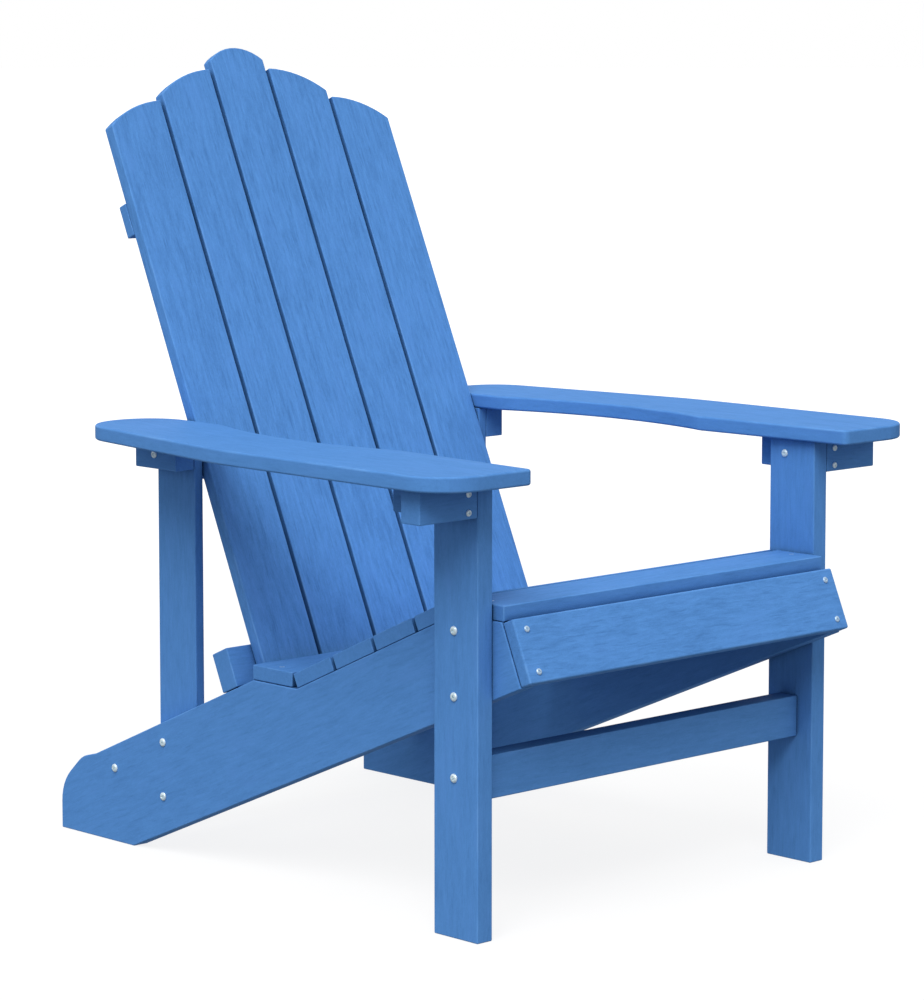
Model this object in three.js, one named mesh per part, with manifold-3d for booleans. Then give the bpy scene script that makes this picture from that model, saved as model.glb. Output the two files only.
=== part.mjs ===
// An adirondack chair made of plank lumber and pan-head screws.
// Millimetres, +Z up. The chair faces -Y and is symmetric about X = 0. Depths are measured from
// the legs' front faces while the pieces are made, and the whole chair is then moved so that the
// origin is on the ground at the middle of its footprint. "Left" is the -X side.
import * as THREE from 'three';
import { mergeVertices } from 'three/addons/utils/BufferGeometryUtils.js';
import Module from 'manifold-3d';

// ---- driving dimensions --------------------------------------------------------------------

const touchGap = 0.3; // between two pieces that rest on each other
const easedEdge = 1.2; // chamfer along a board's edges
const cornerRadius = 2; // small corners of a board's outline
const chordError = 0.15; // how far a faceted arc may stray from the true one

// board stock
const plankWidth = 70.8; // legs, posts and seat slats
const seatThickness = 18; // seat slats and arms
const backThickness = 16;
const apronThickness = 16.5;
const legThickness = 23;
const stringerThickness = 22.5;
const stoutThickness = 29; // rails, stretchers and arm brackets
const lightThickness = 14; // rear posts and upper back rail

// across the chair
const legOuter = 292.5;
const legInner = legOuter - legThickness;
const stringerOuter = legInner - touchGap;
const stringerInner = stringerOuter - stringerThickness;
const postOuter = stringerInner - touchGap;
const postInner = 233;
const seatHalfLength = 267.5;

// arms
const armUnderside = 517.5;
const armFront = -56;
const armRear = 638;
const armOuter = 400;
const armInner = 232.6;
const armFrontInner = 262; // the inner corner of its broad front
const armFrontInnerRadius = 8;
const armWaist = { x: 397, depth: 322, radius: 500 }; // where its outer edge starts to taper
const armRearOuter = 346.5;
const armEndRadius = 59;
const scoopRear = { x: armInner, depth: 507 };
const scoopFront = { x: 250.5, depth: 171 };
const scoopDepth = 28;
const armEasedEdge = 2.2;
const bracketHeight = 39;
const legTop = armUnderside - touchGap;
const bracketBottom = legTop - bracketHeight;

// stringers: each rises from a flat rear foot to the seat's front
const footRear = 786.8;
const footFront = 641.5;
const seatRearEdge = 410; // the level seat at the rear runs from here ...
const seatKink = 332; // ... to here, then climbs to the front
const seatRearHeight = 240;
const seatFrontHeight = 361.7;
const seatSlope = THREE.MathUtils.degToRad(24.2);
const rearSlope = THREE.MathUtils.degToRad(23.7); // of the stringers' tops, behind the seat
const backTilt = THREE.MathUtils.degToRad(24);
const underSlope = THREE.MathUtils.degToRad(23);
const heel = { height: 59, radius: 56 };
const heelShoulder = { depth: 744, height: 98.5, radius: 40 }; // it swells a little above the slope
const heelFront = 718;
const stringerTip = -13.5; // the upper corner of its front end

// back
const backSlatWidth = 88;
const backSlatGap = 6;
const backPlaneFoot = 320.4; // where the slats' front plane would meet the ground
const backSlatBottom = 257; // heights in the back are measured up its slope
const centreSlatTop = 1078.4;
const centreCrown = 17;
const innerSlatTop = 1049.4;
const crownStep = 41.2; // from an inner slat's top down to its outer neighbour's
const sideCrownRadius = 153;

// screws
const shankRadius = 2.5;
const wideHead = 5.2; // head radii: of the screws in the legs and the stringers ...
const middleHead = 4.7; // ... in the brackets ...
const smallHead = 3.8; // ... and in the apron and the blocks
const headHeightRatio = 0.52;
const tipLength = 5;
const holeRadius = 3;
const screwSides = 12;
const drillClearance = 1; // beyond a screw's tip

// ---- materials -----------------------------------------------------------------------------

const plankBlue = new THREE.MeshStandardMaterial({ color: 0x5590d2, roughness: 0.62, metalness: 0 });
const backBlue = new THREE.MeshStandardMaterial({ color: 0x5a96d6, roughness: 0.66, metalness: 0 });
const steel = new THREE.MeshStandardMaterial({ color: 0xc9ccd0, roughness: 0.28, metalness: 1 });

// ---- outlines ------------------------------------------------------------------------------

function arcPoints(centre, radius, startAngle, endAngle) {
  const largestStep = 2 * Math.acos(1 - chordError / Math.max(radius, 2 * chordError));
  const steps = Math.max(2, Math.ceil(Math.abs(endAngle - startAngle) / largestStep));
  const points = [];
  for (let step = 0; step <= steps; step += 1) {
    const angle = startAngle + ((endAngle - startAngle) * step) / steps;
    points.push([centre[0] + radius * Math.cos(angle), centre[1] + radius * Math.sin(angle)]);
  }
  return points;
}

// An arc from start to end that stands off the chord by rise, on the left of its direction.
function archPoints(start, end, rise) {
  const chord = new THREE.Vector2(end[0] - start[0], end[1] - start[1]);
  const half = chord.length() / 2;
  const radius = (half * half + rise * rise) / (2 * rise);
  const left = new THREE.Vector2(-chord.y, chord.x).normalize();
  const centre = [
    (start[0] + end[0]) / 2 - left.x * (radius - rise),
    (start[1] + end[1]) / 2 - left.y * (radius - rise),
  ];
  const middleAngle = Math.atan2(left.y, left.x);
  const halfAngle = Math.asin(half / radius);
  return arcPoints(centre, radius, middleAngle + halfAngle, middleAngle - halfAngle);
}

// A closed outline from corners [a, b] or [a, b, radius], each rounded to its own radius.
function roundedOutline(corners) {
  const points = [];
  corners.forEach(([a, b, radius = 0], index) => {
    const corner = new THREE.Vector2(a, b);
    if (radius === 0) {
      points.push(corner);
      return;
    }
    const before = new THREE.Vector2(...corners.at(index - 1)).sub(corner).normalize();
    const after = new THREE.Vector2(...corners[(index + 1) % corners.length]).sub(corner).normalize();
    const halfAngle = before.angleTo(after) / 2;
    const inward = before.clone().add(after).normalize();
    const centre = corner.clone().addScaledVector(inward, radius / Math.sin(halfAngle));
    const turn = Math.PI / 2 - halfAngle;
    const outwardAngle = Math.atan2(-inward.y, -inward.x);
    const direction = Math.sign(after.cross(before));
    const arc = arcPoints([centre.x, centre.y], radius,
      outwardAngle - direction * turn, outwardAngle + direction * turn);
    points.push(...arc.map(([x, y]) => new THREE.Vector2(x, y)));
  });
  return new THREE.Shape(points);
}

function rectangle(low, high, radius = cornerRadius) {
  return roundedOutline([
    [low[0], low[1], radius],
    [high[0], low[1], radius],
    [high[0], high[1], radius],
    [low[0], high[1], radius],
  ]);
}

// ---- boards --------------------------------------------------------------------------------

// A board with this outline in its local XY plane, from z = 0 to z = thickness.
function boardGeometry(shape, thickness, eased = easedEdge) {
  const geometry = new THREE.ExtrudeGeometry(shape, {
    depth: thickness - 2 * eased,
    bevelEnabled: true,
    bevelThickness: eased,
    bevelSize: eased,
    bevelOffset: -eased,
    bevelSegments: 1,
  });
  return geometry.translate(0, 0, eased);
}

// Turns a geometry drawn in its XY plane so that the outline lies in YZ and the extrusion along X.
const outlineToSide = new THREE.Matrix4().makeBasis(
  new THREE.Vector3(0, 1, 0),
  new THREE.Vector3(0, 0, 1),
  new THREE.Vector3(1, 0, 0),
);

const chair = new THREE.Group();
const pieces = new Map();

function addPiece(name, geometry, material, parent = chair) {
  const mesh = new THREE.Mesh(geometry, material);
  mesh.name = name;
  parent.add(mesh);
  pieces.set(name, mesh);
  return mesh;
}

// A board whose outline lies in the YZ plane, between two values of X, mirrored on the left.
function addSideBoards(name, shape, inner, outer) {
  for (const [sideName, side] of [['left', -1], ['right', 1]]) {
    const geometry = boardGeometry(shape, outer - inner).applyMatrix4(outlineToSide);
    const mesh = addPiece(`${name}_${sideName}`, geometry, plankBlue);
    mesh.position.x = side === 1 ? inner : -outer;
  }
}

// A plank that lies along X: its section is depth by height, centred on the mesh's own axis.
function addCrossPlank(name, halfLength, depth, height, parent = chair) {
  const section = rectangle([-depth / 2, -height / 2], [depth / 2, height / 2]);
  const geometry = boardGeometry(section, 2 * halfLength).applyMatrix4(outlineToSide);
  geometry.translate(-halfLength, 0, 0);
  return addPiece(name, geometry, plankBlue, parent);
}

// ---- legs, posts and stringers -------------------------------------------------------------

const postFront = 544.3;
const postBottom = 45;

function addUprights() {
  addSideBoards('front_leg', rectangle([0, 0], [plankWidth, legTop]), legInner, legOuter);
  const post = rectangle([postFront, postBottom], [postFront + plankWidth, legTop]);
  addSideBoards('rear_post', post, postInner, postOuter);
}

function rearTopHeight(depth) {
  return seatRearHeight - (depth - seatRearEdge) * Math.tan(rearSlope);
}

function underHeight(depth) {
  return (footFront - depth) * Math.tan(underSlope);
}

function addStringers() {
  const seatFrontEdge = seatKink - (seatFrontHeight - seatRearHeight) / Math.tan(seatSlope);
  // the front end is cut square to the sloping underside
  const overUnderside = seatFrontHeight - underHeight(stringerTip);
  const tipBottom = stringerTip - overUnderside * Math.cos(underSlope) * Math.sin(underSlope);
  const shape = roundedOutline([
    [footFront, 0],
    [footRear, 0, cornerRadius],
    [footRear, heel.height, heel.radius],
    [heelShoulder.depth, heelShoulder.height, heelShoulder.radius],
    [heelFront, rearTopHeight(heelFront)],
    [seatRearEdge, seatRearHeight],
    [seatKink, seatRearHeight],
    [seatFrontEdge, seatFrontHeight],
    [stringerTip, seatFrontHeight, cornerRadius],
    [tipBottom, underHeight(tipBottom), cornerRadius],
  ]);
  addSideBoards('stringer', shape, stringerInner, stringerOuter);
}

// ---- stretchers and apron ------------------------------------------------------------------

const frontStretcherDepth = 37.5;
const frontStretcherHeight = 50;
const frontStretcherMiddle = 179.5;
const rearStretcherDepth = 676.5;
const rearStretcherHeight = 42;
const rearStretcherMiddle = 93.3;
const apronHeight = 75;
const apronHalfLength = 268;
const apronDrop = 1; // its upper edge is this far below the stringers' corners

function addStretchers() {
  const front = addCrossPlank('front_stretcher', legInner - touchGap, stoutThickness, frontStretcherHeight);
  front.position.set(0, frontStretcherDepth, frontStretcherMiddle);
  const rear = addCrossPlank('rear_stretcher', postOuter, stoutThickness, rearStretcherHeight);
  rear.position.set(0, rearStretcherDepth, rearStretcherMiddle);
}

// The apron stands on the stringers' front ends, in a frame whose Z climbs along those ends.
const apronFrame = new THREE.Group();
apronFrame.position.set(0, stringerTip - touchGap, seatFrontHeight);
apronFrame.rotation.x = -underSlope;
chair.add(apronFrame);

function addApron() {
  const apron = addCrossPlank('front_apron', apronHalfLength, apronThickness, apronHeight, apronFrame);
  apron.position.set(0, -apronThickness / 2, -apronHeight / 2 - apronDrop);
}

// ---- seat ----------------------------------------------------------------------------------

const slopeSlats = 4;
const slatPitch = 76.2;
const rearSlatMiddle = 377;
const frontSlatMiddle = 19.9;

function addSeat() {
  const lift = seatThickness / 2 + touchGap;
  const rear = addCrossPlank('seat_slat_1', seatHalfLength, plankWidth, seatThickness);
  rear.position.set(0, rearSlatMiddle, seatRearHeight + lift);
  for (let index = 0; index < slopeSlats; index += 1) {
    const slat = addCrossPlank(`seat_slat_${index + 2}`, seatHalfLength, plankWidth, seatThickness);
    const along = index * slatPitch + plankWidth / 2;
    slat.position.set(
      0,
      seatKink - along * Math.cos(seatSlope) + lift * Math.sin(seatSlope),
      seatRearHeight + along * Math.sin(seatSlope) + lift * Math.cos(seatSlope),
    );
    slat.rotation.x = -seatSlope;
  }
  const front = addCrossPlank(`seat_slat_${slopeSlats + 2}`, seatHalfLength, plankWidth, seatThickness);
  front.position.set(0, frontSlatMiddle, seatFrontHeight + lift);
}

// ---- back ----------------------------------------------------------------------------------

// The back's own frame: Y climbs its slope and Z stands out of the slats' front faces.
const backFrame = new THREE.Group();
backFrame.position.set(0, backPlaneFoot, 0);
backFrame.rotation.x = Math.PI / 2 - backTilt;
chair.add(backFrame);

const backPitch = backSlatWidth + backSlatGap;
const backHalfWidth = 2 * backPitch + backSlatWidth / 2;

function centreSlatOutline() {
  const half = backSlatWidth / 2;
  const shoulder = centreSlatTop - centreCrown;
  return roundedOutline([
    [-half, backSlatBottom, cornerRadius],
    [half, backSlatBottom, cornerRadius],
    ...archPoints([-half, shoulder], [half, shoulder], centreCrown).reverse(),
  ]);
}

// A side slat's top falls in an arc that would be level at its inner neighbour's edge.
function sideSlatOutline(top, side) {
  const half = backSlatWidth / 2;
  const arcMiddle = -half - backSlatGap;
  const crown = arcPoints([arcMiddle, top - sideCrownRadius], sideCrownRadius,
    Math.acos((half - arcMiddle) / sideCrownRadius), Math.acos(backSlatGap / sideCrownRadius));
  const corners = [
    [-half, backSlatBottom, cornerRadius],
    [half, backSlatBottom, cornerRadius],
    ...crown,
  ];
  return roundedOutline(side === 1 ? corners : corners.map(([a, ...rest]) => [-a, ...rest]).reverse());
}

const railFace = -backThickness - touchGap;
const upperRail = { bottom: 836, height: 42, thickness: lightThickness, halfLength: backHalfWidth };
const middleRail = { bottom: 524, height: 48, thickness: stoutThickness, halfLength: postInner - touchGap };
const lowerRail = { bottom: 256.8, height: 49, thickness: stoutThickness, halfLength: stringerOuter };

function addBack() {
  for (let index = -2; index <= 2; index += 1) {
    const rank = Math.abs(index);
    const shape = rank === 0
      ? centreSlatOutline()
      : sideSlatOutline(innerSlatTop - (rank - 1) * crownStep, Math.sign(index));
    const slat = addPiece(`back_slat_${index + 3}`, boardGeometry(shape, backThickness), backBlue, backFrame);
    slat.position.set(index * backPitch, 0, -backThickness);
  }
  for (const [name, rail] of Object.entries({ upper: upperRail, middle: middleRail, lower: lowerRail })) {
    const mesh = addCrossPlank(`${name}_back_rail`, rail.halfLength, rail.height, rail.thickness, backFrame);
    mesh.position.set(0, rail.bottom + rail.height / 2, railFace - rail.thickness / 2);
  }
}

// ---- arms and their brackets ---------------------------------------------------------------

const blockDepth = 30;
const blockOuter = 380;
const frontBracketRear = 106;
const rearBracketRear = 622;

function addArms() {
  const corners = [
    [armFrontInner, armFront, armFrontInnerRadius],
    [armOuter, armFront, armEndRadius],
    [armWaist.x, armWaist.depth, armWaist.radius],
    [armRearOuter, armRear, armEndRadius],
    [armInner, armRear, armEndRadius],
    ...archPoints([scoopRear.x, scoopRear.depth], [scoopFront.x, scoopFront.depth], scoopDepth),
  ];
  for (const [sideName, side] of [['left', -1], ['right', 1]]) {
    const outline = corners.map(([a, ...rest]) => [side * a, ...rest]);
    const shape = roundedOutline(side === 1 ? outline : outline.reverse());
    const arm = addPiece(`arm_${sideName}`, boardGeometry(shape, seatThickness, armEasedEdge), plankBlue);
    arm.position.z = armUnderside;
  }
}

function addArmBrackets() {
  const block = rectangle([0, bracketBottom], [blockDepth, legTop]);
  addSideBoards('front_arm_block', block, legOuter + touchGap, blockOuter);
  const front = rectangle([blockDepth + touchGap, bracketBottom], [frontBracketRear, legTop]);
  addSideBoards('front_arm_bracket', front, legOuter + touchGap, legOuter + touchGap + stoutThickness);
  const rear = rectangle([postFront, bracketBottom], [rearBracketRear, legTop]);
  addSideBoards('rear_arm_bracket', rear, postOuter + touchGap, postOuter + touchGap + stoutThickness);
}

// ---- screws --------------------------------------------------------------------------------

function screwGeometry(length, headRadius) {
  const headHeight = headRadius * headHeightRatio;
  const profile = [
    [0, headHeight],
    [headRadius * 0.45, headHeight * 0.95],
    [headRadius * 0.82, headHeight * 0.66],
    [headRadius, headHeight * 0.2],
    [headRadius, 0],
    [shankRadius, 0],
    [shankRadius, tipLength - length],
    [0, -length],
  ];
  const points = profile.map(([radius, height]) => new THREE.Vector2(radius, height));
  return new THREE.LatheGeometry(points.reverse(), screwSides);
}

let solids = null;

function solidFrom(geometry) {
  const bare = geometry.clone();
  bare.deleteAttribute('normal');
  bare.deleteAttribute('uv');
  const merged = mergeVertices(bare, 1e-4);
  return new solids.Manifold(new solids.Mesh({
    numProp: 3,
    vertProperties: new Float32Array(merged.attributes.position.array),
    triVerts: new Uint32Array(merged.index.array),
  }));
}

function geometryFrom(solid) {
  const mesh = solid.getMesh();
  const indexed = new THREE.BufferGeometry();
  indexed.setAttribute('position', new THREE.BufferAttribute(new Float32Array(mesh.vertProperties), 3));
  indexed.setIndex(new THREE.BufferAttribute(new Uint32Array(mesh.triVerts), 1));
  const flat = indexed.toNonIndexed();
  flat.computeVertexNormals();
  return flat;
}

// Cuts a tool, given in the chair's frame, out of a piece.
function cutPiece(mesh, toolInChair) {
  mesh.updateWorldMatrix(true, false);
  const tool = toolInChair.clone().applyMatrix4(mesh.matrixWorld.clone().invert());
  mesh.geometry = geometryFrom(solidFrom(mesh.geometry).subtract(solidFrom(tool)));
}

// Drives a screw into the pieces that it joins. point is on the first piece's face, and into is
// the way that the screw goes.
function addScrew(name, point, into, length, headRadius, joined) {
  const outward = new THREE.Vector3(...into).normalize().negate();
  const turn = new THREE.Quaternion().setFromUnitVectors(new THREE.Vector3(0, 1, 0), outward);
  const drillStart = 2;
  const drillLength = length + drillStart + drillClearance;
  const drill = new THREE.CylinderGeometry(holeRadius, holeRadius, drillLength, screwSides);
  drill.translate(0, drillStart - drillLength / 2, 0);
  drill.applyQuaternion(turn).translate(...point);
  for (const pieceName of joined) {
    cutPiece(pieces.get(pieceName), drill);
  }
  const screw = addPiece(name, screwGeometry(length, headRadius), steel);
  screw.quaternion.copy(turn);
  screw.position.set(...point).addScaledVector(outward, touchGap);
}

// Places given for the right side, mirrored on the left.
function addScrewPair(name, point, into, length, headRadius, joined) {
  for (const [sideName, side] of [['left', -1], ['right', 1]]) {
    const names = joined.map((piece) => (pieces.has(piece) ? piece : `${piece}_${sideName}`));
    addScrew(`${name}_${sideName}`, [side * point[0], point[1], point[2]],
      [side * into[0], into[1], into[2]], length, headRadius, names);
  }
}

const legScrewDepth = 37.5;
const legScrewHeights = { upper: 349, lower: 274.5 };
const stretcherScrewHeight = 182.5;
const frontBracketScrew = { depth: 47, height: 499 };
const blockScrewX = 306.5;
const blockScrewHeights = { upper: 506.5, lower: 485.5 };
const postScrewDepth = 581;
const postScrewHeights = { upper: 139.7, lower: 72.2 };
const rearBracketScrew = { depth: 585, height: 496 };
const apronScrewX = 251;
const apronScrewDrops = { upper: 14.5, lower: 63.5 };
const boardScrew = 40;
const endScrew = 60; // into a bar's end grain
const postScrew = 33;
const bracketScrew = 45;
const rearBracketScrewLength = 70;
const apronScrew = 50;

function addFrameScrews() {
  for (const [place, height] of Object.entries(legScrewHeights)) {
    addScrewPair(`leg_screw_${place}`, [legOuter, legScrewDepth, height], [-1, 0, 0], boardScrew,
      wideHead, ['front_leg', 'stringer']);
  }
  addScrewPair('front_stretcher_screw', [legOuter, legScrewDepth, stretcherScrewHeight], [-1, 0, 0],
    endScrew, wideHead, ['front_leg', 'front_stretcher']);
  for (const [place, height] of Object.entries(postScrewHeights)) {
    addScrewPair(`post_screw_${place}`, [stringerOuter, postScrewDepth, height], [-1, 0, 0], postScrew,
      wideHead, ['stringer', 'rear_post']);
  }
  addScrewPair('rear_stretcher_screw', [stringerOuter, rearStretcherDepth, rearStretcherMiddle],
    [-1, 0, 0], endScrew, wideHead, ['stringer', 'rear_stretcher']);
}

function addBracketScrews() {
  addScrewPair('front_bracket_screw', [legInner, frontBracketScrew.depth, frontBracketScrew.height],
    [1, 0, 0], bracketScrew, middleHead, ['front_leg', 'front_arm_bracket']);
  for (const [place, height] of Object.entries(blockScrewHeights)) {
    addScrewPair(`front_block_screw_${place}`, [blockScrewX, 0, height], [0, 1, 0], endScrew,
      smallHead, ['front_arm_block', 'front_arm_bracket']);
  }
  addScrewPair('rear_bracket_screw',
    [postOuter + touchGap + stoutThickness, rearBracketScrew.depth, rearBracketScrew.height],
    [-1, 0, 0], rearBracketScrewLength, middleHead, ['rear_arm_bracket', 'rear_post', 'middle_back_rail']);
}

function addApronScrews() {
  apronFrame.updateWorldMatrix(true, false);
  const intoEnd = [0, Math.cos(underSlope), -Math.sin(underSlope)];
  for (const [place, drop] of Object.entries(apronScrewDrops)) {
    const face = apronFrame.localToWorld(new THREE.Vector3(0, -apronThickness, -drop));
    addScrewPair(`apron_screw_${place}`, [apronScrewX, face.y, face.z], intoEnd, apronScrew,
      smallHead, ['front_apron', 'stringer']);
  }
}

// ---- assembly ------------------------------------------------------------------------------

addUprights();
addStringers();
addStretchers();
addApron();
addSeat();
addBack();
addArms();
addArmBrackets();
solids = await Module();
solids.setup();
addFrameScrews();
addBracketScrews();
addApronScrews();
const extent = new THREE.Box3().setFromObject(chair, true);
chair.position.y = -(extent.min.y + extent.max.y) / 2;

export default chair;
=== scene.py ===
import math
import random

import bmesh
import bpy
from mathutils import Matrix, Vector
from mathutils.geometry import intersect_line_line


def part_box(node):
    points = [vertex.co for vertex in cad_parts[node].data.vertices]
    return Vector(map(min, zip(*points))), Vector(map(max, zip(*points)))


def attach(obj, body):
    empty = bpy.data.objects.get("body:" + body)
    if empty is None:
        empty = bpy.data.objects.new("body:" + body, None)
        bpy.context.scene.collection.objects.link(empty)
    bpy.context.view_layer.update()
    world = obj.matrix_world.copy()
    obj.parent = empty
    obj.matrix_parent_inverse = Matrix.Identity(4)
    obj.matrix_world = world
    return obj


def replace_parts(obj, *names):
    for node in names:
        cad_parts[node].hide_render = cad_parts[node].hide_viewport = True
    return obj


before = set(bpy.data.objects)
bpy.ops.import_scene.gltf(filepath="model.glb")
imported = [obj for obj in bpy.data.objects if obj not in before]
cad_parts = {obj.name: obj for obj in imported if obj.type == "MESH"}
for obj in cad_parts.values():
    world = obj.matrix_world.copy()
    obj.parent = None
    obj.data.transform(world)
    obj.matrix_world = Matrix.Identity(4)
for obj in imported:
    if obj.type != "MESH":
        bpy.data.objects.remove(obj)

MM = 0.001
X, Y, Z = Vector((1, 0, 0)), Vector((0, 1, 0)), Vector((0, 0, 1))

# ---- driving dimensions ----------------------------------------------------------------------

WELD = 0.01 * MM  # corners of a CAD mesh closer than this are one corner
SHORT_EDGE = 2.2 * MM  # the CAD's eased corners are shorter than this, and its arcs' chords longer
STRAIGHT = math.radians(0.4)  # a smaller turn in an outline isn't a corner
SHARP = math.radians(24)  # a larger turn between two faces is rounded over
PARALLEL = 0.9999  # two directions whose cosine is above this are one

# A table of the form {start of a name: value} holds what differs from the usual value above it.
BOARD_EDGE = 1.55 * MM  # radius of a board's rounded edges
BOARD_EDGES = {"arm": 2.8 * MM, "back_slat": 1.75 * MM, "front_apron": 2.4 * MM}
EDGE_SEGMENTS = 4
GRAIN_DEPTH = 0.5  # how strongly the grain shows
GRAIN_DEPTHS = {"back_slat": 0.88, "front_apron": 0.85, "arm": 0.4}
SAWN_FACING = 0.8  # a face this close to square across the grain is a sawn end
PATTERN_SPREAD = 9  # metres: each board shows its own part of the material's patterns

# a screw's head and its cross recess, in parts of the head's radius
HEAD_HEIGHT = 0.52
HEAD_RIM = 0.14
HEAD_FLAT = 0.42  # the flat top
HEAD_SIDES = 36
HEAD_RINGS = 6
HEAD_CREASE = math.radians(35)  # a sharper turn than this shows as an edge
RECESS_DEPTH = 0.36
RECESS_TOP = 1.2  # the cutter's top, in parts of the head's height
RECESS_FLOOR = {"reach": 0.28, "width": 0.126}  # a bar of the cross: half its length, and its width
RECESS_MOUTH = {"reach": 0.616, "width": 0.231}

SHANK_RADIUS = 1.9 * MM
SHANK_SIDES = 12
THREAD_HEIGHT = 0.6 * MM
THREAD_PITCH = 2.6 * MM
THREAD_ROWS = 4  # rows of points along one turn
THREAD_NARROWNESS = 3
TIP_LENGTH = 6 * MM
TIP_BLUNTNESS = 0.08  # of the shank's radius
CAD_GAP = 0.3 * MM  # between touching CAD pieces

# the screws that the CAD leaves out
SIDES = {"left": -1, "right": 1}
SEAT_HEAD = 4.3 * MM
SEAT_SCREW_INSET = 15.5 * MM  # from a seat slat's end
SEAT_SCREW_SUNK = 0.85  # of its head's height
SEAT_SCREW_LENGTH = 38 * MM
HIDDEN_HEAD = 4.2 * MM
BACK_SCREW_SPREAD = 22 * MM  # either side of a back slat's middle
TIP_COVER = 4 * MM  # left beyond a screw's tip
ARM_SCREW_SHARES = {"front_arm_bracket": 0.72, "rear_arm_bracket": 0.78}  # of the way to the rear

# the photographed view
CAMERA_PLACE = Vector((-3.0295, -3.2111, 1.0333))
CAMERA_YAW = math.radians(43.624)
CAMERA_DIP = math.radians(6.131)
CAMERA_LENS = 130.71
CAMERA_SHIFT = -0.10
SENSOR = 36.0

# ---- meshes ----------------------------------------------------------------------------------


def ring_of(made, radius, height, sides):
    turn = 2 * math.pi / sides
    return [
        made.verts.new((radius * math.cos(turn * step), radius * math.sin(turn * step), height))
        for step in range(sides)
    ]


def bridge(made, lower, upper):
    count = len(lower)
    for index in range(count):
        made.faces.new((lower[index - 1], lower[index], upper[index], upper[index - 1]))


# ---- boards, from the CAD solids -------------------------------------------------------------


def merged_solid(node):
    """A copy of a CAD node's mesh with its split corners joined."""
    solid = bmesh.new()
    solid.from_mesh(node.data)
    bmesh.ops.remove_doubles(solid, verts=solid.verts, dist=WELD)
    return solid


def broad_normal(solid):
    """The direction that most of a board's surface faces."""
    groups = []
    for face in solid.faces:
        match = next((g for g in groups if abs(g[0].dot(face.normal)) > PARALLEL), None)
        if match is None:
            groups.append([face.normal.copy(), face.calc_area()])
        else:
            match[1] += face.calc_area()
    return max(groups, key=lambda g: g[1])[0]


def section_loops(solid, normal, height):
    """The closed loops of points where a plane cuts a solid."""
    cut = solid.copy()
    bmesh.ops.bisect_plane(
        cut,
        geom=cut.verts[:] + cut.edges[:] + cut.faces[:],
        plane_co=normal * height,
        plane_no=normal,
        clear_inner=True,
        clear_outer=True,
    )
    cut.verts.index_update()
    cut.verts.ensure_lookup_table()
    waiting = set(range(len(cut.verts)))
    loops = []
    while waiting:
        vert = cut.verts[min(waiting)]
        loop = []
        while vert is not None:
            waiting.discard(vert.index)
            loop.append(vert.co.copy())
            others = [edge.other_vert(vert) for edge in vert.link_edges]
            vert = next((other for other in others if other.index in waiting), None)
        loops.append(loop)
    cut.free()
    return loops


def following(items):
    return items[1:] + items[:1]


def enclosed_area(loop):
    total = Vector()
    for here, after in zip(loop, following(loop)):
        total += here.cross(after)
    return total.length / 2


def sharp_outline(loop):
    """The loop without points on its straight stretches, its small eased corners made sharp."""
    count = len(loop)
    corners = []
    for index, here in enumerate(loop):
        before, after = here - loop[index - 1], loop[(index + 1) % count] - here
        if before.length > WELD and after.length > WELD and before.angle(after) > STRAIGHT:
            corners.append(here)
    pairs = zip(corners, following(corners))
    sides = [(start, end) for start, end in pairs if (end - start).length > SHORT_EDGE]
    outline = []
    for side, after in zip(sides, following(sides)):
        if side[1] == after[0]:
            outline.append(side[1])
        else:
            outline.append(intersect_line_line(*side, *after)[0])
    return outline


def board_form(node):
    """A board's outline, the direction through it and how far it reaches along that."""
    solid = merged_solid(node)
    normal = broad_normal(solid)
    heights = [vert.co.dot(normal) for vert in solid.verts]
    low, high = min(heights), max(heights)
    quarter = (high - low) / 4
    # a screw hole that opens one of the two sections leaves it smaller than the other
    loops = section_loops(solid, normal, low + quarter) + section_loops(solid, normal, high - quarter)
    solid.free()
    return sharp_outline(max(loops, key=enclosed_area)), normal, low, high


def special_value(name, special, usual):
    """The value for the start of this name, or the usual one."""
    return next((value for start, value in special.items() if name.startswith(start)), usual)


def build_board(name, material):
    outline, normal, low, high = board_form(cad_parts[name])
    made = bmesh.new()
    rings = [
        [made.verts.new(point + normal * (height - point.dot(normal))) for point in outline]
        for height in (low, high)
    ]
    for ring in rings:
        made.faces.new(ring)
    bridge(made, *rings)
    bmesh.ops.recalc_face_normals(made, faces=made.faces)
    rounded = bmesh.ops.bevel(
        made,
        geom=[edge for edge in made.edges if edge.calc_face_angle() > SHARP],
        offset=special_value(name, BOARD_EDGES, BOARD_EDGE),
        offset_type="OFFSET",
        segments=EDGE_SEGMENTS,
        profile=0.5,
        affect="EDGES",
        clamp_overlap=True,
    )
    sides = [after - here for here, after in zip(outline, following(outline))]
    along = max(sides + [normal * (high - low)], key=lambda side: side.length).normalized()
    note_grain(made, name, along, normal, set(rounded["faces"]))

    mesh = bpy.data.meshes.new(name)
    made.to_mesh(mesh)
    made.free()
    mesh.materials.append(material)
    board = bpy.data.objects.new("plank_" + name, mesh)
    bpy.context.scene.collection.objects.link(board)
    shading = board.modifiers.new("flat faces stay flat", "WEIGHTED_NORMAL")
    shading.keep_sharp = True
    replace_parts(board, name)
    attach(board, "root")


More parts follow.
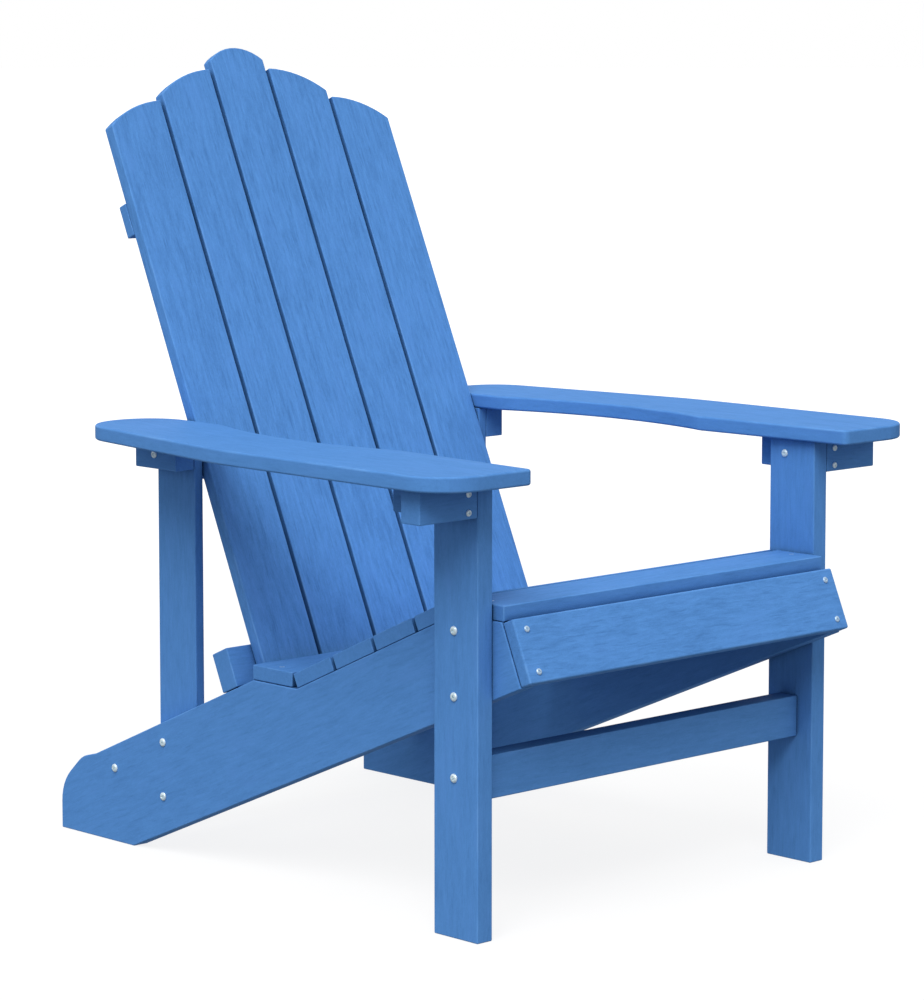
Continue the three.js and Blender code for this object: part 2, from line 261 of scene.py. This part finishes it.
def note_grain(made, name, along, normal, rounded):
    """Stores what the plank material needs: a place along and across the grain, edges and ends."""
    chance = random.Random(name)
    axes = (along, normal.cross(along), normal)
    offset = Vector([chance.uniform(-PATTERN_SPREAD, PATTERN_SPREAD) for _ in axes])
    place = made.verts.layers.float_vector.new("plank")
    edge = made.verts.layers.float.new("edge")
    shade = made.verts.layers.float.new("shade")
    depth = made.verts.layers.float.new("depth")
    board_shade = chance.uniform(-1, 1)
    board_depth = special_value(name, GRAIN_DEPTHS, GRAIN_DEPTH)
    for vert in made.verts:
        vert[place] = Vector([vert.co.dot(axis) for axis in axes]) + offset
        vert[edge] = float(all(face in rounded for face in vert.link_faces))
        vert[shade] = board_shade
        vert[depth] = board_depth
    sawn = made.faces.layers.float.new("sawn")
    for face in made.faces:
        face.smooth = True
        face[sawn] = float(abs(face.normal.dot(along)) > SAWN_FACING)


# ---- screws ----------------------------------------------------------------------------------


def head_form(radius):
    """A pan head of this radius whose underside is at z = 0."""
    made = bmesh.new()
    height, rim = HEAD_HEIGHT * radius, HEAD_RIM * radius
    profile = [(SHANK_RADIUS, 0), (radius - rim / 3, 0), (radius, rim / 3), (radius, rim)]
    for step in range(1, HEAD_RINGS + 1):
        angle = math.pi / 2 * step / HEAD_RINGS
        reach = HEAD_FLAT + (1 - HEAD_FLAT) * math.cos(angle)
        profile.append((radius * reach, rim + (height - rim) * math.sin(angle)))
    rings = [ring_of(made, *size, HEAD_SIDES) for size in profile]
    for lower, upper in zip(rings, rings[1:]):
        bridge(made, lower, upper)
    made.faces.new(rings[0])
    made.faces.new(rings[-1])
    return made


def recess_form(radius):
    """The driver's cross: two crossed wedges that narrow downwards."""
    made = bmesh.new()
    floor, top = (HEAD_HEIGHT - RECESS_DEPTH) * radius, HEAD_HEIGHT * radius * RECESS_TOP
    for turn in (Matrix.Identity(3), Matrix.Rotation(math.pi / 2, 3, "Z")):
        levels = []
        for height, bar in ((floor, RECESS_FLOOR), (top, RECESS_MOUTH)):
            reach, side = bar["reach"] * radius, bar["width"] * radius / 2
            corners = ((-reach, -side), (reach, -side), (reach, side), (-reach, side))
            levels.append([made.verts.new(turn @ Vector((a, b, height))) for a, b in corners])
        bridge(made, *levels)
        for level in levels:
            made.faces.new(level)
    return made


def linked_object(name, made):
    """A scene object with this bmesh, which is used up."""
    bmesh.ops.recalc_face_normals(made, faces=made.faces)
    mesh = bpy.data.meshes.new(name)
    made.to_mesh(mesh)
    made.free()
    thing = bpy.data.objects.new(name, mesh)
    bpy.context.scene.collection.objects.link(thing)
    return thing


def cut_head(radius):
    """The head with its recess cut out, as a bmesh."""
    head = linked_object("head", head_form(radius))
    recess = linked_object("recess", recess_form(radius))
    cut = head.modifiers.new("recess", "BOOLEAN")
    cut.object = recess
    cut.solver = "EXACT"
    cut.use_self = True
    made = bmesh.new()
    made.from_object(head, bpy.context.evaluated_depsgraph_get())
    for thing in (head, recess):
        mesh = thing.data
        bpy.data.objects.remove(thing)
        bpy.data.meshes.remove(mesh)
    return made


def add_shank(made, length):
    """A threaded shank from the head's underside down to a point."""
    rows = round(length / (THREAD_PITCH / THREAD_ROWS))
    rings = []
    for row in range(rows + 1):
        depth = length * row / rows
        taper = min(1.0, (length - depth) / TIP_LENGTH + TIP_BLUNTNESS)
        ring = ring_of(made, 1.0, -depth, SHANK_SIDES)
        for side, vert in enumerate(ring):
            phase = (depth / THREAD_PITCH + side / SHANK_SIDES) % 1.0
            ridge = max(0.0, 1 - THREAD_NARROWNESS * abs(phase - 0.5)) if depth > THREAD_PITCH else 0.0
            reach = (SHANK_RADIUS + THREAD_HEIGHT * ridge) * taper
            vert.co.x *= reach
            vert.co.y *= reach
        rings.append(ring)
    for upper, lower in zip(rings, rings[1:]):
        bridge(made, lower, upper)
    made.faces.new(rings[0])
    made.faces.new(rings[-1])


screw_meshes = {}


def screw_mesh(length, radius, material):
    """The mesh for screws of one size, made once."""
    size = (round(length / MM), round(10 * radius / MM))
    if size not in screw_meshes:
        made = cut_head(radius)
        add_shank(made, length)
        bmesh.ops.recalc_face_normals(made, faces=made.faces)
        for face in made.faces:
            face.smooth = True
        mesh = bpy.data.meshes.new("screw")
        made.to_mesh(mesh)
        made.free()
        mesh.set_sharp_from_angle(angle=HEAD_CREASE)
        mesh.materials.append(material)
        screw_meshes[size] = mesh
    return screw_meshes[size]


def add_screw(name, place, outward, length, radius, material):
    """A screw whose head's underside is at place, its recess turned at random."""
    turn = Matrix.Rotation(random.Random(name).uniform(0, math.pi / 2), 4, "Z")
    facing = outward.to_track_quat("Z", "Y").to_matrix().to_4x4()
    mesh = screw_mesh(length, radius, material).copy()
    mesh.transform(Matrix.Translation(place) @ facing @ turn)
    dull = mesh.attributes.new("dull", "FLOAT", "POINT")
    dull.data.foreach_set("value", [special_value(name, STEEL_DULLNESS, 0.0)] * len(mesh.vertices))
    screw = bpy.data.objects.new(name, mesh)
    bpy.context.scene.collection.objects.link(screw)
    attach(screw, "root")
    return screw


def replace_screw(name, material):
    """Puts a detailed screw where a CAD screw is. The CAD's has a sharp tip and a broad head."""
    solid = merged_solid(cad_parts[name])
    points = [vert.co.copy() for vert in solid.verts]
    solid.free()
    middle = sum(points, Vector()) / len(points)
    tip = max(points, key=lambda point: (point - middle).length)
    crown = max(points, key=lambda point: (point - tip).dot(middle - tip))
    axis = (middle - tip).normalized()
    height = (crown - tip).dot(axis)
    radius = max(((point - tip) - axis * (point - tip).dot(axis)).length for point in points)
    length = height - HEAD_HEIGHT * radius
    seat = tip + axis * (length - CAD_GAP)
    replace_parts(add_screw("driven_" + name, seat, axis, length, radius, material), name)


class Board:
    """A CAD board's middle, its broad face's direction and its sizes, for placing screws."""

    def __init__(self, name, facing):
        solid = merged_solid(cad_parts[name])
        normal = broad_normal(solid)
        self.normal = normal if normal.dot(facing) > 0 else -normal
        low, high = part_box(name)
        self.middle = (Vector(low) + Vector(high)) / 2
        self.half_length = (Vector(high) - Vector(low)).x / 2
        heights = [vert.co.dot(normal) for vert in solid.verts]
        self.thickness = max(heights) - min(heights)
        solid.free()


def add_seat_screws(material):
    for name in sorted(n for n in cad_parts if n.startswith("seat_slat")):
        slat = Board(name, Z)
        depth = slat.thickness / 2 - SEAT_SCREW_SUNK * HEAD_HEIGHT * SEAT_HEAD
        reach = slat.half_length - SEAT_SCREW_INSET
        for side_name, side in SIDES.items():
            screw_name = f"{name}_screw_{side_name}"
            place = slat.middle + X * side * reach + slat.normal * depth
            add_screw(screw_name, place, slat.normal, SEAT_SCREW_LENGTH, SEAT_HEAD, material)


def add_back_screws(material):
    """Two screws from behind each rail into every back slat."""
    slats = {name: Board(name, -Y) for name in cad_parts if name.startswith("back_slat")}
    for rail_name in ("upper_back_rail", "middle_back_rail", "lower_back_rail"):
        rail = Board(rail_name, -Y)
        for slat_name, slat in sorted(slats.items()):
            length = rail.thickness + slat.thickness - TIP_COVER
            for side_name, side in SIDES.items():
                place = rail.middle - rail.normal * rail.thickness / 2
                place.x = slat.middle.x + side * BACK_SCREW_SPREAD
                name = f"{rail_name}_{slat_name}_screw_{side_name}"
                add_screw(name, place, -rail.normal, length, HIDDEN_HEAD, material)


def add_arm_screws(material):
    """A screw up through each bracket into the arm, clear of the screws that hold the bracket."""
    for name, share in ARM_SCREW_SHARES.items():
        for side in SIDES:
            low, high = (Vector(corner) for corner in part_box(f"{name}_{side}"))
            arm_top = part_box(f"arm_{side}")[1][2]
            place = Vector(((low.x + high.x) / 2, low.y + (high.y - low.y) * share, low.z))
            length = arm_top - low.z - TIP_COVER
            add_screw(f"{name}_screw_up_{side}", place, -Z, length, HIDDEN_HEAD, material)


# ---- materials -------------------------------------------------------------------------------


class Shader:
    """A material's node tree, with short ways to add to it."""

    def __init__(self, name):
        self.material = bpy.data.materials.new(name)
        self.material.use_nodes = True
        self.tree = self.material.node_tree
        self.surface = self.tree.nodes["Principled BSDF"]

    def add(self, kind, inputs=(), **settings):
        node = self.tree.nodes.new(kind)
        for key, value in settings.items():
            setattr(node, key, value)
        for key, value in dict(inputs).items():
            self.join(node.inputs[key], value)
        return node

    def join(self, socket, value):
        if isinstance(value, bpy.types.NodeSocket):
            self.tree.links.new(value, socket)
        else:
            socket.default_value = value

    def attribute(self, name):
        return self.add("ShaderNodeAttribute", attribute_name=name)

    def times(self, first, second):
        return self.add("ShaderNodeMath", {0: first, 1: second}, operation="MULTIPLY").outputs[0]

    def noise(self, place, density, detail=2.0, roughness=0.5):
        """Noise from 0 to 1, with so many lumps per metre along each axis."""
        vector = self.add("ShaderNodeVectorMath", {0: place, 1: density}, operation="MULTIPLY")
        inputs = {"Vector": vector.outputs["Vector"], "Scale": 1.0, "Detail": detail, "Roughness": roughness}
        return self.add("ShaderNodeTexNoise", inputs).outputs["Fac"]

    def openness(self, reach):
        """1 in the open, and less where other surfaces are closer than this."""
        inputs = {"Distance": reach}
        return self.add("ShaderNodeAmbientOcclusion", inputs, samples=OPENNESS_SAMPLES).outputs["AO"]

    def bump(self, height, strength, distance):
        inputs = {"Strength": strength, "Distance": distance, "Height": height}
        self.join(self.surface.inputs["Normal"], self.add("ShaderNodeBump", inputs).outputs["Normal"])

    def blend(self, factor, first, second):
        """A mix of two colours."""
        node = self.add("ShaderNodeMix", {0: factor, 6: first, 7: second}, data_type="RGBA")
        return node.outputs[2]

    def weighted(self, terms, start=0.0):
        """The sum of a start and of values, each times its weight."""
        total = start
        for value, weight in terms:
            inputs = {0: value, 1: weight, 2: total}
            total = self.add("ShaderNodeMath", inputs, operation="MULTIPLY_ADD").outputs[0]
        return total

    def range(self, value, old, new=(0.0, 1.0)):
        """The value carried from one range to another, and held to its ends."""
        inputs = {"Value": value, "From Min": old[0], "From Max": old[1], "To Min": new[0], "To Max": new[1]}
        return self.add("ShaderNodeMapRange", inputs).outputs["Result"]


# The plank. Densities are in lumps per metre along the board, across it and through it.
PLANK_DARK = (0.070, 0.208, 0.505, 1)
PLANK_PALE = (0.106, 0.301, 0.70, 1)
PLANK_VIOLET = (0.093, 0.25, 0.615, 1)
# the paler colour of rounded edges: partly wear, partly a painted highlight
PLANK_WEAR_AND_HIGHLIGHT = (0.16, 0.36, 0.70, 1)
# painted shade: the dark colour that gaps, nooks and the underside of the seat are darkened towards
PLANK_PAINTED_SHADE = (0.012, 0.05, 0.14, 1)
WANDER_DENSITY = (6, 22, 22)
WANDER_REACH = 6 * MM  # how far the grain strays sideways
STREAK_DENSITY = (26, 200, 200)
FIBRE_DENSITY = (120, 650, 650)
DASH_DENSITY = (40, 380, 380)
DASH_RANGE = (0.58, 0.74)
MOTTLE_DENSITY = (14, 40, 40)
SPECKLE_DENSITY = (480, 620, 620)
SAW_MARK_DENSITY = (60, 90, 900)
FIGURE_WEIGHTS = {"streaks": 0.33, "fibres": 0.22, "mottle": 0.25, "speckle": 0.2}
FIGURE_MIDDLE = 0.49  # what the figure comes to on average
FIGURE_DASHES = -0.1
RELIEF_WEIGHTS = {"streaks": 0.5, "fibres": 0.25, "speckle": 0.12, "dashes": -0.4}
SAW_MARK_RELIEF = 0.5
TONE_RANGE = (0.38, 0.62)  # from the dark colour to the pale one
TONE_MIDDLE = 0.5
BOARD_TONE = 0.006  # how far whole boards differ
VIOLET_RANGE, VIOLET_AMOUNT = (0.52, 0.68), (0.0, 0.3)
SAWN_DARKNESS = 0.25
# how much paler the rounded edges turn, in patches: partly wear, partly a painted highlight
WEAR_AND_HIGHLIGHT_RANGE, WEAR_AND_HIGHLIGHT_AMOUNT = (0.45, 0.65), (0.0, 0.35)
PLANK_ROUGHNESS = (0.78, 0.6)  # of the dark tone and of the pale one
PLANK_SPECULAR = 0.05
PLANK_BUMP = {"strength": 0.55, "distance": 0.35 * MM}

# The plank's colour is darkened towards a painted shade where other surfaces are close, in a board's gaps
# and under the seat.
OPENNESS_SAMPLES = 4
NOOK_SHADE_REACH, NOOK_SHADE_RANGE, NOOK_SHADE_AMOUNT = 250 * MM, (0.1, 0.6), (0.3, 1.0)
CREVICE_SHADE_REACH, CREVICE_SHADE_RANGE = 12 * MM, (0.12, 0.6)

STEEL_PALE = (0.82, 0.96, 1.0, 1)
STEEL_STAINED = (0.62, 0.77, 0.87, 1)
STEEL_DULL = (0.16, 0.36, 0.66, 1)
STEEL_DULLNESS = {"driven_apron": 0.45, "seat_slat": 0.85}  # of screws tinted by the planks' blue
SCUFF_DENSITY = (900, 900, 900)
SCUFF_RANGE = (0.3, 0.7)
STAIN_DENSITY = (260, 260, 260)
STAIN_RANGE = (0.35, 0.7)
STEEL_ROUGHNESS = (0.28, 0.45)
STEEL_METALLIC = 0.4
STEEL_BUMP = {"strength": 0.25, "distance": 0.1 * MM}


def plank_patterns(made):
    """The noises that the plank's colour and relief are mixed from."""
    place = made.attribute("plank").outputs["Vector"]
    sideways = made.range(
        made.noise(place, WANDER_DENSITY, detail=1.0), (0, 1), (-WANDER_REACH, WANDER_REACH)
    )
    aside = made.add("ShaderNodeCombineXYZ", {"Y": sideways}).outputs[0]
    grain = made.add("ShaderNodeVectorMath", {0: place, 1: aside}, operation="ADD").outputs["Vector"]
    return {
        "streaks": made.noise(grain, STREAK_DENSITY),
        "fibres": made.noise(grain, FIBRE_DENSITY),
        "dashes": made.range(made.noise(grain, DASH_DENSITY, detail=1.0), DASH_RANGE),
        "mottle": made.noise(place, MOTTLE_DENSITY, detail=3.0, roughness=0.6),
        "speckle": made.noise(place, SPECKLE_DENSITY),
        "saw_marks": made.noise(place, SAW_MARK_DENSITY),
    }


def plank_material():
    """Blue plastic lumber: wood grain embossed along the board, sawn ends, paler edges that are partly wear
    and partly a painted highlight, and painted shade in gaps and under the seat.
    """
    made = Shader("plastic_lumber_blue")
    edge, sawn, shade, depth = (
        made.attribute(name).outputs["Fac"] for name in ("edge", "sawn", "shade", "depth")
    )
    patterns = plank_patterns(made)
    mottle = patterns["mottle"]

    figure = made.weighted((patterns[name], weight) for name, weight in FIGURE_WEIGHTS.items())
    figure = made.weighted(((figure, 1.0), (patterns["dashes"], FIGURE_DASHES)), -FIGURE_MIDDLE)
    tone = made.weighted(((made.times(figure, depth), 1.0), (shade, BOARD_TONE)), TONE_MIDDLE)
    colour = made.blend(made.range(tone, TONE_RANGE), PLANK_DARK, PLANK_PALE)
    colour = made.blend(made.range(mottle, VIOLET_RANGE, VIOLET_AMOUNT), colour, PLANK_VIOLET)
    colour = made.blend(made.times(sawn, SAWN_DARKNESS), colour, PLANK_DARK)
    # rounded edges turn paler in patches: partly wear, partly a painted highlight
    wear_and_highlight = made.times(edge, made.range(mottle, WEAR_AND_HIGHLIGHT_RANGE, WEAR_AND_HIGHLIGHT_AMOUNT))
    colour = made.blend(wear_and_highlight, colour, PLANK_WEAR_AND_HIGHLIGHT)
    # painted shade, under the seat and wherever other surfaces are near, and again in the narrow gaps
    # between boards
    painted_nook_shade = made.range(made.openness(NOOK_SHADE_REACH), NOOK_SHADE_RANGE, NOOK_SHADE_AMOUNT)
    colour = made.blend(painted_nook_shade, PLANK_PAINTED_SHADE, colour)
    painted_crevice_shade = made.range(made.openness(CREVICE_SHADE_REACH), CREVICE_SHADE_RANGE)
    colour = made.blend(painted_crevice_shade, PLANK_PAINTED_SHADE, colour)

    relief = made.weighted((patterns[name], weight) for name, weight in RELIEF_WEIGHTS.items())
    relief = made.times(relief, depth)
    saw_relief = made.times(patterns["saw_marks"], SAW_MARK_RELIEF)
    height = made.add("ShaderNodeMix", {0: sawn, 2: relief, 3: saw_relief}).outputs[0]
    made.bump(height, **PLANK_BUMP)
    made.join(made.surface.inputs["Base Color"], colour)
    made.join(made.surface.inputs["Roughness"], made.range(tone, TONE_RANGE, PLANK_ROUGHNESS))
    made.surface.inputs["Specular IOR Level"].default_value = PLANK_SPECULAR
    return made.material


def steel_material():
    """Satin zinc plate, a little scuffed."""
    made = Shader("zinc_plated_steel")
    place = made.add("ShaderNodeTexCoord").outputs["Object"]
    scuffs = made.noise(place, SCUFF_DENSITY, detail=4.0, roughness=0.65)
    stains = made.noise(place, STAIN_DENSITY)
    colour = made.blend(made.range(stains, STAIN_RANGE), STEEL_PALE, STEEL_STAINED)
    colour = made.blend(made.attribute("dull").outputs["Fac"], colour, STEEL_DULL)
    made.bump(scuffs, **STEEL_BUMP)
    made.join(made.surface.inputs["Base Color"], colour)
    made.join(made.surface.inputs["Roughness"], made.range(scuffs, SCUFF_RANGE, STEEL_ROUGHNESS))
    made.surface.inputs["Metallic"].default_value = STEEL_METALLIC
    return made.material


# ---- the chair -------------------------------------------------------------------------------

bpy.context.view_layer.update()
plank = plank_material()
steel = steel_material()
for node_name in sorted(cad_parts):
    if "screw" in node_name:
        replace_screw(node_name, steel)
    else:
        build_board(node_name, plank)
add_seat_screws(steel)
add_back_screws(steel)
add_arm_screws(steel)

# ---- studio ----------------------------------------------------------------------------------

FLOOR_RADIUS = 60.0
FLOOR_SIDES = 96
FLOOR_GREY = (0.16, 0.16, 0.16, 1)
FLOOR_ROUGHNESS = 0.9
FLOOR_GLOW_REACH = (1.2, 4.5)  # the floor brightens to white between these distances ...
FLOOR_GLOW = (0.85, 1.0)  # ... by giving off this much light
WHITE = (1, 1, 1, 1)
DOME = (0.3, 0.62)  # the surround's light from below the horizon and from above it
HORIZON = (-0.1, 0.1)  # where one passes into the other
KEY = {"direction": Vector((-0.527, -0.369, 0.765)), "strength": 2.38, "spread": math.radians(40)}
FILL = {"direction": Vector((0.45, 0.85, 0.12)), "strength": 0.6, "spread": math.radians(60)}


def add_floor():
    made = bmesh.new()
    made.faces.new(ring_of(made, FLOOR_RADIUS, 0.0, FLOOR_SIDES))
    mesh = bpy.data.meshes.new("floor")
    made.to_mesh(mesh)
    made.free()
    floor = bpy.data.objects.new("floor", mesh)
    bpy.context.scene.collection.objects.link(floor)
    paint = Shader("pale_floor")
    paint.surface.inputs["Base Color"].default_value = FLOOR_GREY
    paint.surface.inputs["Roughness"].default_value = FLOOR_ROUGHNESS
    paint.surface.inputs["Specular IOR Level"].default_value = 0.0
    paint.surface.inputs["Emission Color"].default_value = WHITE
    place = paint.add("ShaderNodeTexCoord").outputs["Object"]
    distance = paint.add("ShaderNodeVectorMath", {0: place}, operation="LENGTH").outputs["Value"]
    glow = paint.range(distance, FLOOR_GLOW_REACH, FLOOR_GLOW)
    paint.join(paint.surface.inputs["Emission Strength"], glow)
    mesh.materials.append(paint.material)
    # the chair's undersides are lit by the world's own lower half, so that the floor can be white
    floor.visible_diffuse = False
    floor.visible_glossy = False
    floor.visible_shadow = False


def add_sun(name, direction, strength, spread):
    data = bpy.data.lights.new(name, "SUN")
    data.energy = strength
    data.angle = spread
    light = bpy.data.objects.new(name, data)
    bpy.context.scene.collection.objects.link(light)
    light.rotation_euler = direction.to_track_quat("Z", "Y").to_euler()
    return light


def add_world():
    """A plain white surround for the camera, and a soft one that is brighter above for the light."""
    world = bpy.data.worlds.new("studio")
    bpy.context.scene.world = world
    world.use_nodes = True
    tree = world.node_tree
    tree.nodes.clear()
    direction = tree.nodes.new("ShaderNodeTexCoord")
    split = tree.nodes.new("ShaderNodeSeparateXYZ")
    ramp = tree.nodes.new("ShaderNodeMapRange")
    for name, value in zip(("From Min", "From Max", "To Min", "To Max"), HORIZON + DOME):
        ramp.inputs[name].default_value = value
    soft = tree.nodes.new("ShaderNodeBackground")
    plain = tree.nodes.new("ShaderNodeBackground")
    plain.inputs["Color"].default_value = WHITE
    seen = tree.nodes.new("ShaderNodeLightPath")
    mix = tree.nodes.new("ShaderNodeMixShader")
    out = tree.nodes.new("ShaderNodeOutputWorld")
    tree.links.new(direction.outputs["Generated"], split.inputs[0])
    tree.links.new(split.outputs["Z"], ramp.inputs["Value"])
    tree.links.new(ramp.outputs["Result"], soft.inputs["Color"])
    tree.links.new(seen.outputs["Is Camera Ray"], mix.inputs[0])
    tree.links.new(soft.outputs[0], mix.inputs[1])
    tree.links.new(plain.outputs[0], mix.inputs[2])
    tree.links.new(mix.outputs[0], out.inputs[0])


def add_camera():
    data = bpy.data.cameras.new("camera")
    data.sensor_width = SENSOR
    data.lens = CAMERA_LENS
    data.shift_y = CAMERA_SHIFT
    camera = bpy.data.objects.new("camera", data)
    bpy.context.scene.collection.objects.link(camera)
    camera.location = CAMERA_PLACE
    camera.rotation_euler = (math.pi / 2 - CAMERA_DIP, 0, -CAMERA_YAW)
    bpy.context.scene.camera = camera


add_floor()
add_sun("key", **KEY)
add_sun("rear_fill", **FILL).visible_glossy = False
add_world()
add_camera()
bpy.context.scene.view_settings.view_transform = "Standard"
